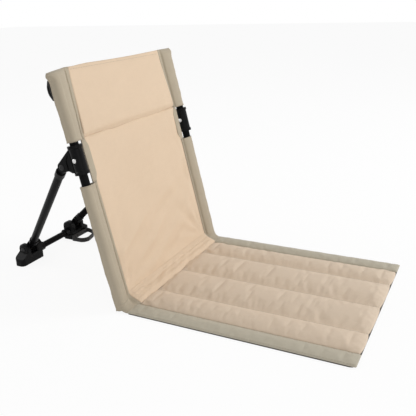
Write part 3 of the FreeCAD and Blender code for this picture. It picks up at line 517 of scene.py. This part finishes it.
def sleeve(name, node, sign, low, high, flare, droop, seed):
    """A length of sleeve; its top edge is sewn flat, and the outer corner flares and droops."""
    def place(run, v):
        up = low + v
        reach = TAPE_REACH * max(up - WINDOW_HIGH, 0.0) / (TOP_EDGE - WINDOW_HIGH)
        inwards, rear, normal = sleeve_section(run, reach)
        outer = max((SLEEVE_TAIL - inwards) / (SLEEVE_TAIL + SLEEVE_R), 0.0)
        top = ease(TOP_EDGE - CORNER_ZONE, TOP_EDGE, up)
        corner = flare * top * outer ** 2
        hang = ease(TOP_EDGE - SAG_ZONE, TOP_EDGE, up)
        sag = droop * (hang + 0.5 * top * math.sin(math.pi * outer) + 1.8 * top * outer ** 3)
        flat = 1 - FLATTENED * ease(TOP_EDGE - FLAT_ZONE, TOP_EDGE - 0.0003, up)
        crease = noise.noise(Vector((run * 30, up * 55, seed)))
        crease += 0.5 * noise.noise(Vector((run * 70, up * 140, seed + 3)))
        held = ease(0, 0.012, run) * ease(0, 0.012, SLEEVE_CUT - run)
        hem = HEM_RISE * (1 - ease(0, HEM_WIDTH, min(v, high - low - v)))
        rim_run = SLEEVE_CUT / 2 + SLEEVE_R * RIM_TURN
        rim = RIM_RISE * math.exp(-((run - rim_run) / RIM_WIDTH) ** 2)
        swell = CREASE_RISE * held * max(crease + 0.25, -0.1) + hem * held + rim
        inwards += normal.x * swell - corner
        rear = (rear + normal.y * swell) * flat
        return on_back(sign * (POLE_X - inwards), SETBACK + rear, up - sag)

    def girth(v):
        round_pole = [place(SLEEVE_CUT * i / SLEEVE_STEPS, v) for i in range(SLEEVE_STEPS + 1)]
        return sum((second - first).length for first, second in zip(round_pole, round_pole[1:]))

    length = high - low
    width = max(girth(0.0), girth(length / 2), girth(length))
    form = cut_cloth(SLEEVE_CUT, length, SLEEVE_STEPS, round(length / SLEEVE_ROW), place)
    if sign < 0:
        bmesh.ops.reverse_faces(form, faces=form.faces[:])
    piece = piece_from(name, form, khaki)
    thicken(piece, SLEEVE_CLOTH)
    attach(piece, "back")
    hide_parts(node)
    return piece


sleeves = {}
for side, sign in SIDES:
    sleeves[side, "lower"] = sleeve(
        f"{side}_lower_sleeve_cloth", f"{side}_lower_sleeve", sign, SLEEVE_LOW, WINDOW_LOW[side],
        flare=0.0, droop=0.0, seed=2.0 + sign)
    sleeves[side, "upper"] = sleeve(
        f"{side}_upper_sleeve_cloth", f"{side}_upper_sleeve", sign, WINDOW_HIGH, TOP_EDGE,
        flare=TOP_FLARE[side], droop=TOP_DROOP * (1 - sign) / 2, seed=8.0 + sign)


# Window bindings: khaki tape cut from the sleeves' cloth, folded in two over the panel's raw edge
# where a hub passes through, and sewn. At both ends it narrows, up against the sleeves.

BINDING_OUTER, BINDING_WIDTH, BINDING_THICK = 0.171, 0.0165, 0.0028
BINDING_ROUND, BINDING_PLAY, BINDING_WAVE = 0.0011, 0.0008, 0.0006
BINDING_TAPER, TAPER_RUN = 0.006, 0.016


def lengthwise(form):
    """The edges that run along the window."""
    return [e for e in form.edges if abs(e.verts[0].co.z - e.verts[1].co.z) > 0.01]


for side, sign in SIDES:
    window = WINDOW_HIGH - WINDOW_LOW[side]
    middle = (WINDOW_HIGH + WINDOW_LOW[side]) / 2
    form = bmesh.new()
    bmesh.ops.create_cube(form, size=1.0)
    bmesh.ops.scale(form, verts=form.verts[:],
                    vec=(BINDING_WIDTH, BINDING_THICK, window - BINDING_PLAY))
    bmesh.ops.bevel(form, geom=lengthwise(form), offset=BINDING_ROUND, affect="EDGES", segments=4,
                    profile=0.5, material=-1)
    bmesh.ops.subdivide_edges(form, edges=lengthwise(form), cuts=22)
    layer = form.loops.layers.uv.new("cloth")
    for face in form.faces:
        for loop in face.loops:
            loop[layer].uv = (loop.vert.co.x + loop.vert.co.y, loop.vert.co.z)
    for vert in form.verts:
        x, rear, up = vert.co
        wave = BINDING_WAVE * noise.noise(Vector((sign, up * 70, 5.0)))
        inner = max(0.5 - sign * x / BINDING_WIDTH, 0.0)
        end = BINDING_TAPER * inner * (1 - ease(0, TAPER_RUN, window / 2 - abs(up)))
        across = sign * (BINDING_OUTER - BINDING_WIDTH / 2 + end) + x
        vert.co = on_back(across, SETBACK + rear + wave, middle + up)
    binding = piece_from(f"{side}_window_tape", form, khaki)
    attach(binding, "back")
    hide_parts(f"{side}_window_binding")


# Fold strip: the peach cloth that turns from the back to the seat. It is left full, so that the
# seat can fold, and lies in a soft puckered roll over the welt on the fold line.

STRIP_STEPS = 60
STRIP_ROLL, PUCKER_RISE, CREASE_FOLD = 0.0024, 0.0015, 0.0014
EDGE_WANDER, EDGE_LIFT = 0.0065, 0.0032
strip_points = [
    on_back(0, SETBACK - 0.0008, 0.0215), on_back(0, SETBACK - 0.0035, 0.0105),
    Vector((0, FOLD_Y + 0.002, FOLD_Z + 0.0095)), Vector((0, FOLD_Y - 0.0115, FOLD_Z + 0.0012))]


def strip_line(share):
    """A place on the strip's line from the back to the seat."""
    line = strip_points
    while len(line) > 1:
        line = [first.lerp(second, share) for first, second in zip(line, line[1:])]
    return line[0]


strip_length = sum(
    (strip_line((i + 1) / STRIP_STEPS) - strip_line(i / STRIP_STEPS)).length
    for i in range(STRIP_STEPS))


def strip_point(u, v):
    x = u - PANEL_EDGE
    inside = PANEL_EDGE - abs(x)
    share = v / strip_length
    ahead = strip_line(min(share + 0.02, 1.0)) - strip_line(max(share - 0.02, 0.0))
    normal = Vector((0, ahead.z, -ahead.y)).normalized()
    held = ease(0, 0.25, share) * ease(0, 0.18, 1 - share) * ease(0, 0.012, inside)
    pucker = noise.noise(Vector((x * 34 + share * 2.5, share * 1.2, 21.0)))
    pucker += 0.6 * noise.noise(Vector((x * 80 - share * 4, share * 2.2, 27.0)))
    crease = noise.noise(Vector((x * 9, share * 7, 31.0)))
    loose = 0.25 + noise.noise(Vector((x * 10, 0, 41.0)))
    loose += 0.5 * noise.noise(Vector((x * 26, 0, 43.0)))
    wander = share ** 2 * ease(0, 0.04, inside) * loose
    edge = Vector((x, -EDGE_WANDER * wander, EDGE_LIFT * max(wander, 0.0)))
    full = STRIP_ROLL + PUCKER_RISE * pucker + CREASE_FOLD * crease
    return strip_line(share) + edge + normal * held * full


strip_form = cut_cloth(2 * PANEL_EDGE, strip_length, columns=120, rows=20, place=strip_point)
bmesh.ops.reverse_faces(strip_form, faces=strip_form.faces[:])
strip = piece_from("fold_strip_cloth", strip_form, peach)
thicken(strip, CLOTH, even=False)
BEND = {"start": tuple(strip_line(0.45)), "end": tuple(strip_line(0.97))}
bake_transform(strip)
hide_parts("fold_strip")


# Fold corners: the khaki cloth of each sleeve runs on round the fold into the seat's side band,
# as a short tongue at both ends of the fold strip. It is sewn to the strip.

CORNER_HIGH, CORNER_TURN, CORNER_END = 0.013, 0.0035, Vector((0, 0.2055, 0.0046))
CORNER_OUTER, CORNER_CROWN, CROWN_SPAN = 0.1992, 0.0017, 0.0377
CORNER_PROUD, SEAM_LAP = 0.0008, 0.0016
SEAM_SUNK = Vector((0, 0.0002, 0.0004))
SKIRT_TURN, SKIRT_END = 0.0065, 0.0028
CORNER_STEPS = 12
corner_half = SLEEVE_CUT / 2


def corner_line(run, share):
    """A place on a fold corner: run is round the pole from the seam, share from back to seat."""
    inwards, rear = sleeve_section(run)[:2]
    x = min(max(POLE_X - inwards, SEAM_X), CORNER_OUTER)
    outer = ease(0, 0.011, run)
    skirt = ease(0.7 * corner_half, corner_half, run)
    high = on_back(0, SETBACK + rear - CORNER_PROUD, CORNER_HIGH)
    turn = on_back(0, SETBACK + rear - CORNER_PROUD, CORNER_TURN - SKIRT_TURN * skirt)
    crown = CORNER_CROWN * math.sin((x - SEAM_X) / CROWN_SPAN * math.pi)
    low = CORNER_END + Vector((0, 0, crown - SKIRT_END * skirt))
    point = high.lerp(turn, share).lerp(turn.lerp(low, share), share)
    point = (strip_line(share) - SEAM_SUNK).lerp(point, outer)
    return Vector((x - SEAM_LAP * (1 - outer), point.y, point.z))


def corner_run(run):
    line = [corner_line(run, i / CORNER_STEPS) for i in range(CORNER_STEPS + 1)]
    return sum((second - first).length for first, second in zip(line, line[1:]))


corner_length = max(corner_run(0.0), corner_run(corner_half / 2), corner_run(corner_half))
for side, sign in SIDES:
    def corner_point(u, v):
        point = corner_line(u, v / corner_length)
        return Vector((sign * point.x, point.y, point.z))

    form = cut_cloth(corner_half, corner_length, columns=26, rows=14, place=corner_point)
    if sign > 0:
        bmesh.ops.reverse_faces(form, faces=form.faces[:])
    tongue = piece_from(f"{side}_fold_corner_cloth", form, khaki)
    thicken(tongue, CLOTH, even=False)
    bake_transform(tongue)


# Seat base: a dark coated cloth under the whole seat, cut in one piece with rounded front
# corners. It lies on the ground, and the cover and the bands are sewn down to it.

base_finish = cloth("dark_ground_cloth", (0.075, 0.066, 0.055), (0.04, 0.036, 0.03), 700.0)
BASE_THICK, BASE_INSET, BASE_ROUND = 0.0014, 0.001, 0.011
base_low, base_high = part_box("seat_base")
base_size = base_high - base_low
base_middle = (base_low + base_high) / 2
base_flat = (base_size.x - 2 * BASE_INSET, base_size.y - 2 * BASE_INSET)
form = bmesh.new()
bmesh.ops.create_grid(form, x_segments=1, y_segments=1, size=0.5)
bmesh.ops.scale(form, verts=form.verts[:], vec=(base_flat[0], base_flat[1], 1))
bmesh.ops.translate(form, verts=form.verts[:], vec=(base_middle.x, base_middle.y, BASE_THICK))
front_corners = [vert for vert in form.verts if vert.co.y < 0]
bmesh.ops.bevel(form, geom=front_corners, offset=BASE_ROUND, affect="VERTICES", segments=8,
                profile=0.5, material=-1)
layer = form.loops.layers.uv.new("cloth")
for face in form.faces:
    for loop in face.loops:
        loop[layer].uv = loop.vert.co.xy
base = piece_from("seat_ground_cloth", form, base_finish)
thicken(base, BASE_THICK)
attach(base, "seat")
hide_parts("seat_base")


# Quilted cover: peach cloth over four foam strips, sewn down to the base along three lines and at
# its edge. The foam pushes the cloth up between the sewing, so it puckers along every line.

seat_cloth = cloth("peach_seat_cloth", (0.765, 0.625, 0.482), (0.632, 0.512, 0.394))
SEAT_FRONT, SEAT_REAR, PAD_LOW = -0.213, 0.2072, 0.0016
COVER_EDGE, SEAM_SPACING = 0.1617, 0.098
PAD_ROWS, NOTCH_RUN, END_ROUND = 104, 0.02, 0.022
FILL_FRAMES, LARGEST_MOVE = 22, 0.0035


def stuffed(name, finish, seams, steps, rear, notch, seam_height, crown, end_crown,
            pressure):
    """A flat-bottomed pad along the seat, sewn down along its seams and filled.

    steps counts the columns between two seams; notch draws the front edge in at every seam.
    """
    lines = [0]
    for count in steps:
        lines.append(lines[-1] + count)

    form = bmesh.new()
    bmesh.ops.create_grid(form, x_segments=lines[-1], y_segments=PAD_ROWS, size=0.5)
    sewn = []
    for vert in form.verts:
        column = round((vert.co.x + 0.5) * lines[-1])
        row = round((vert.co.y + 0.5) * PAD_ROWS)
        i = [column <= line for line in lines[1:]].index(True)
        share = (column - lines[i]) / steps[i]
        x = seams[i] + (seams[i + 1] - seams[i]) * (column - lines[i]) / steps[i]
        y = SEAT_FRONT + (rear - SEAT_FRONT) * row / PAD_ROWS
        span = min(y - SEAT_FRONT, rear - y)
        full = end_crown + (crown - end_crown) * math.sin(
            min(span / END_ROUND, 1.0) * math.pi / 2)
        arch = max(math.sin(share * math.pi), 0.0)
        height = seam_height + (full - seam_height) * arch ** 0.75
        pinch = 1 - math.sin(share * math.pi) ** 0.5
        pulled = notch * pinch * (1 - ease(SEAT_FRONT, SEAT_FRONT + NOTCH_RUN, y))
        vert.co = (x, y + pulled, PAD_LOW + height)
        if column in lines or row in (0, PAD_ROWS):
            sewn.append(vert)
    under = bmesh.ops.extrude_face_region(form, geom=form.faces[:], use_keep_orig=True)["geom"]
    bottom = [item for item in under if isinstance(item, bmesh.types.BMVert)]
    for vert in bottom:
        vert.co.z = PAD_LOW
    bmesh.ops.recalc_face_normals(form, faces=form.faces[:])
    form.verts.index_update()
    held = [vert.index for vert in sewn + bottom]
    layer = form.loops.layers.uv.new("cloth")
    for face in form.faces:
        for loop in face.loops:
            loop[layer].uv = loop.vert.co.xy
    piece = piece_from(name, form, finish)
    pins = piece.vertex_groups.new(name="sewn")
    pins.add(held, 1.0, "REPLACE")
    fill_out(piece, pressure)
    finer = piece.modifiers.new("smooth", "SUBSURF")
    finer.levels = 1
    finer.render_levels = 1
    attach(piece, "seat")
    return piece


def fill_out(piece, pressure):
    """Lets the filling press the cloth out between its sewing, and keeps what the cloth does."""
    before = [vert.co.copy() for vert in piece.data.vertices]
    fabric = piece.modifiers.new("filling", "CLOTH")
    rules = fabric.settings
    rules.quality = 8
    rules.mass = 0.25
    rules.tension_stiffness = 18
    rules.compression_stiffness = 8
    rules.shear_stiffness = 4
    rules.bending_stiffness = 0.06
    rules.vertex_group_mass = "sewn"
    rules.shrink_min = -0.022
    rules.use_pressure = True
    rules.uniform_pressure_force = pressure
    rules.effector_weights.gravity = 0
    fabric.collision_settings.use_self_collision = False
    fabric.collision_settings.use_collision = False
    fabric.point_cache.frame_start = 1
    fabric.point_cache.frame_end = FILL_FRAMES + 2
    scene = bpy.context.scene
    for number in range(1, FILL_FRAMES + 1):
        scene.frame_set(number)
    shape = piece.evaluated_get(bpy.context.evaluated_depsgraph_get())
    after = [vert.co.copy() for vert in shape.data.vertices]
    piece.modifiers.remove(fabric)
    scene.frame_set(1)
    for vert, old, new in zip(piece.data.vertices, before, after):
        move = new - old
        if move.length > LARGEST_MOVE:
            move = move.normalized() * LARGEST_MOVE
        vert.co = old + move
        vert.co.z = max(vert.co.z, PAD_LOW)


cover = stuffed(
    "quilted_seat_cover", seat_cloth,
    seams=[-COVER_EDGE, -SEAM_SPACING, 0, SEAM_SPACING, COVER_EDGE], steps=[16, 24, 24, 16],
    rear=SEAT_REAR, notch=0.0035, seam_height=0.0017, crown=0.0092, end_crown=0.0042, pressure=3.0)
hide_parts("quilted_cover", "left_outer_foam", "left_inner_foam", "right_inner_foam",
            "right_outer_foam")


# Seat bands: khaki cloth folded over the seat's long edges round a thin filling. Each is sewn
# down along both of its edges, to the cover on the inside and to the base on the outside.

band_cloth = cloth("khaki_band_cloth", (0.54, 0.495, 0.395), (0.415, 0.375, 0.295), 800.0)
BAND_INNER, BAND_OUTER, BAND_REAR = 0.1621, 0.1996, 0.2105
bands = {}
for side, sign in SIDES:
    bands[side] = stuffed(
        f"{side}_seat_band_cloth", band_cloth,
        seams=sorted([sign * BAND_INNER, sign * BAND_OUTER]), steps=[10],
        rear=BAND_REAR, notch=0.0, seam_height=0.0021, crown=0.0048, end_crown=0.0034, pressure=2.0)
    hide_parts(f"{side}_seat_band")


# Sewing: rows of lock stitches in a polyester thread a little darker than the cloth. They run
# along the cover's seams, both edges of the bands, the sleeves' tapes and the top hem.

thread = Finish("sewing_thread", sheen_weight=0.2, roughness=0.7)
thread_twist = thread.speckle(thread.coordinates(), 900.0, 3.0)
thread.paint(
    base_color=thread.blend(thread_twist, (0.30, 0.25, 0.18, 1), (0.46, 0.39, 0.29, 1)),
    normal=thread.bump(thread_twist, 0.0001))
STITCH, STITCH_GAP, THREAD_R, THREAD_PROUD = 0.0032, 0.0016, 0.00042, 0.35
DROP_FROM, DROP_REACH = 0.03, 0.06


def sew(name, pieces, rows, toward, body):
    """Rows of stitches from start to end, dropped towards the cloth until they lie on it."""
    bpy.context.view_layer.update()
    depsgraph = bpy.context.evaluated_depsgraph_get()
    skins = [BVHTree.FromObject(piece, depsgraph) for piece in pieces]
    form = bmesh.new()
    for start, end in rows:
        run = end - start
        count = int(run.length / (STITCH + STITCH_GAP))
        for i in range(count):
            ends = []
            for place in (i * (STITCH + STITCH_GAP), i * (STITCH + STITCH_GAP) + STITCH):
                from_point = start + run.normalized() * place - toward * DROP_FROM
                hits = [skin.ray_cast(from_point, toward, DROP_REACH) for skin in skins]
                hits = [hit for hit in hits if hit[0] is not None]
                if hits:
                    nearest = min(hits, key=lambda hit: hit[3])
                    ends.append(nearest[0])
            if len(ends) < 2:
                continue
            along = ends[1] - ends[0]
            turn = along.to_track_quat("Z", "Y").to_matrix().to_4x4()
            middle = (ends[0] + ends[1]) / 2 - toward * THREAD_R * THREAD_PROUD
            size = Matrix.Diagonal((THREAD_R, THREAD_R, along.length / 2, 1))
            bmesh.ops.create_icosphere(form, subdivisions=1, radius=1.0,
                                       matrix=Matrix.Translation(middle) @ turn @ size)
    piece = piece_from(name, form, thread)
    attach(piece, body)


SEAM_END, TAPE_STITCH_INSET = 0.004, 0.0024
SLEEVE_SEAM_LOW, WINDOW_GAP, TOP_GAP = 0.02, 0.003, 0.006
BAND_SEAMS = (0.1648, 0.1968)
HEM_SEAM_X, HEM_SEAM_DROP = 0.148, 0.008
down = Vector((0, 0, -1))
rearward = (back_frame.to_3x3() @ Vector((0, 1, 0))).normalized()


def seat_row(x):
    return Vector((x, SEAT_FRONT + SEAM_END, 0)), Vector((x, SEAT_REAR - SEAM_END, 0))


sew("cover_stitches", [cover], [seat_row(x) for x in (-SEAM_SPACING, 0.0, SEAM_SPACING)],
    down, "seat")
for side, sign in SIDES:
    sew(f"{side}_band_stitches", [bands[side]], [seat_row(sign * x) for x in BAND_SEAMS],
        down, "seat")
    x = sign * (SEAM_X + TAPE_WIDTH - TAPE_STITCH_INSET)
    x_top = x - sign * GROOVE_SHARE * TAPE_REACH
    sew(f"{side}_sleeve_stitches", [sleeves[side, "lower"], sleeves[side, "upper"]], [
        (on_back(x, 0, SLEEVE_LOW + SLEEVE_SEAM_LOW), on_back(x, 0, WINDOW_LOW[side] - WINDOW_GAP)),
        (on_back(x, 0, WINDOW_HIGH + WINDOW_GAP), on_back(x_top, 0, TOP_EDGE - TOP_GAP))],
        rearward, "back")
hem_up = TOP_EDGE - HEM_SEAM_DROP
sew("header_stitches", [header], [
    (on_back(-HEM_SEAM_X, 0, hem_up), on_back(HEM_SEAM_X, 0, hem_up))],
    rearward, "back")


# Floor, light and camera: a plain pale floor that runs on into an even white room. A broad lamp
# stands at the right front, a weak one at the left front and one behind: every side is lit.

FLOOR_WHITE, FLOOR_HALF, FLOOR_DROP = 0.9, 12.0, 0.0006
ROOM_LIGHT = 0.58


def backdrop_rays(tree):
    """Light paths that see the backdrop itself: from the camera, or mirrored in a piece."""
    path = tree.nodes.new("ShaderNodeLightPath")
    seen = path.outputs["Is Camera Ray"]
    for name in ("Is Glossy Ray", "Is Transmission Ray"):
        either = tree.nodes.new("ShaderNodeMath")
        either.operation = "MAXIMUM"
        tree.links.new(seen, either.inputs[0])
        tree.links.new(path.outputs[name], either.inputs[1])
        seen = either.outputs[0]
    return seen


floor_finish = Finish("pale_floor", base_color=(0.92, 0.92, 0.92, 1), roughness=0.9,
                      specular_ior_level=0.1)
seen = Tone(floor_finish, backdrop_rays(floor_finish.tree))
white = floor_finish.node("ShaderNodeEmission", sockets={"Color": (1, 1, 1, 1)})
paper = floor_finish.node("ShaderNodeMixShader", sockets={
    0: seen * FLOOR_WHITE, 1: Tone(floor_finish, floor_finish.shader.outputs[0]), 2: white})
floor_finish.feed(floor_finish.tree.nodes["Material Output"], "Surface", paper)
floor_form = bmesh.new()
bmesh.ops.create_grid(floor_form, x_segments=1, y_segments=1, size=FLOOR_HALF)
bmesh.ops.translate(floor_form, verts=floor_form.verts[:], vec=(0, 0, -FLOOR_DROP))
floor_mesh = bpy.data.meshes.new("floor")
floor_form.to_mesh(floor_mesh)
floor_form.free()
floor_mesh.materials.append(floor_finish.material)
floor = bpy.data.objects.new("floor", floor_mesh)
bpy.context.scene.collection.objects.link(floor)

world = bpy.data.worlds.new("even_light")
world.use_nodes = True
background = world.node_tree.nodes["Background"]
background.inputs["Color"].default_value = (1, 1, 1, 1)
strength = world.node_tree.nodes.new("ShaderNodeMapRange")
strength.inputs["To Min"].default_value = ROOM_LIGHT
strength.inputs["To Max"].default_value = 1.0
world.node_tree.links.new(backdrop_rays(world.node_tree), strength.inputs["Value"])
world.node_tree.links.new(strength.outputs[0], background.inputs["Strength"])
bpy.context.scene.world = world


def lamp(name, place, target, size, power):
    light = bpy.data.lights.new(name, "AREA")
    light.shape = "SQUARE"
    light.size = size
    light.energy = power
    lit = bpy.data.objects.new(name, light)
    lit.location = place
    lit.rotation_euler = (Vector(target) - Vector(place)).to_track_quat("-Z", "Y").to_euler()
    bpy.context.scene.collection.objects.link(lit)


lamp("front_lamp", place=(1.5, -2.1, 1.6), target=(0, 0.1, 0.2), size=1.1, power=44)
lamp("side_lamp", place=(-1.6, -1.9, 1.0), target=(0, 0.1, 0.1), size=1.4, power=6)
lamp("rear_lamp", place=(-0.4, 2.5, 1.3), target=(0, 0.3, 0.2), size=1.4, power=14)

HEADING, TILT, ROLL = math.radians(63.01), math.radians(19.54), math.radians(-1.85)
SENSOR, FOCAL_PIXELS, IMAGE_PIXELS = 36.0, 585.8, 416
camera_data = bpy.data.cameras.new("camera")
camera_data.sensor_width = SENSOR
camera_data.lens = SENSOR * FOCAL_PIXELS / IMAGE_PIXELS
camera = bpy.data.objects.new("camera", camera_data)
camera.matrix_world = (
    Matrix.Translation((-0.981, -0.3637, 0.5426)) @ Matrix.Rotation(-HEADING, 4, "Z")
    @ Matrix.Rotation(math.pi / 2 - TILT, 4, "X") @ Matrix.Rotation(ROLL, 4, "Z"))
bpy.context.scene.collection.objects.link(camera)
bpy.context.scene.camera = camera
bpy.context.scene.view_settings.view_transform = "Standard"
